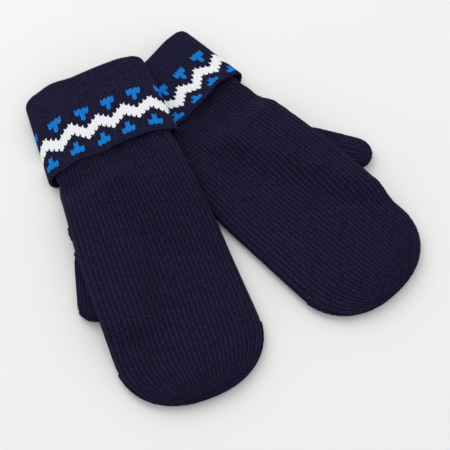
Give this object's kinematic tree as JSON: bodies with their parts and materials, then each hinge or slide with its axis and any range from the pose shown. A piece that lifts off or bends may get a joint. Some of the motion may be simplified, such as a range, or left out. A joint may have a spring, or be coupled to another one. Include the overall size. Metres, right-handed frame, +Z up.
{
  "type": "knitted mittens",
  "caption": "Pair of ribbed knit mittens lying palms down with turned-back patterned cuffs, the left one resting on the right one.",
  "frame": {"origin": "middle of the pair's bounding box, on the surface it lies on", "axes": "+Z up from the table, fingers towards -Y, cuffs towards +Y, right mitten towards +X"},
  "size_m": [0.2449, 0.2715, 0.0327],
  "materials": {
    "navy_yarn": "matte ribbed knit",
    "navy_seam": "matte seam stitches",
    "azure_yarn": "matte knit",
    "white_yarn": "matte knit"
  },
  "bodies": {
    "right_mitten": {"right_back_panel": "navy_yarn", "right_palm_panel": "navy_yarn", "right_tip_seam": "navy_seam", "right_thumb_gusset": "navy_yarn", "right_cuff_inner": "navy_yarn"},
    "right_thumb": {"right_thumb": "navy_yarn", "right_thumb_seam": "navy_seam", "right_thumb_tip_seam": "navy_seam"},
    "right_cuff": {"right_cuff_flap": "navy_yarn", "right_cuff_hem": "navy_seam", "right_zigzag_band": "white_yarn", "right_upper_motifs": "azure_yarn", "right_lower_motifs": "azure_yarn"},
    "left_mitten": {"left_back_panel": "navy_yarn", "left_palm_panel": "navy_yarn", "left_tip_seam": "navy_seam", "left_thumb_gusset": "navy_yarn", "left_cuff_inner": "navy_yarn"},
    "left_thumb": {"left_thumb": "navy_yarn", "left_thumb_seam": "navy_seam", "left_thumb_tip_seam": "navy_seam"},
    "left_cuff": {"left_cuff_flap": "navy_yarn", "left_cuff_hem": "navy_seam", "left_zigzag_band": "white_yarn", "left_upper_motifs": "azure_yarn", "left_lower_motifs": "azure_yarn"}
  },
  "joints": [
    {"name": "left_lift_off", "type": "slide", "parent": "right_mitten", "child": "left_mitten", "axis": [0, 0, 1], "range_m": [0, 0.12]},
    {"name": "right_thumb_swing", "type": "hinge", "parent": "right_mitten", "child": "right_thumb", "pos_m": [0.07299, 0.01409, 0.0045], "axis": [0, 0, 1], "range_deg": [-4, 25]},
    {"name": "left_thumb_swing", "type": "hinge", "parent": "left_mitten", "child": "left_thumb", "pos_m": [-0.08451, 0.02009, 0.0045], "axis": [0, 0, -1], "range_deg": [-4, 40]},
    {"name": "right_cuff_slide", "type": "slide", "parent": "right_mitten", "child": "right_cuff", "axis": [-0.1925, 0.9813, 0], "range_m": [0, 0.04]},
    {"name": "left_cuff_slide", "type": "slide", "parent": "left_mitten", "child": "left_cuff", "axis": [0.1925, 0.9813, 0], "range_m": [0, 0.04]}
  ]
}
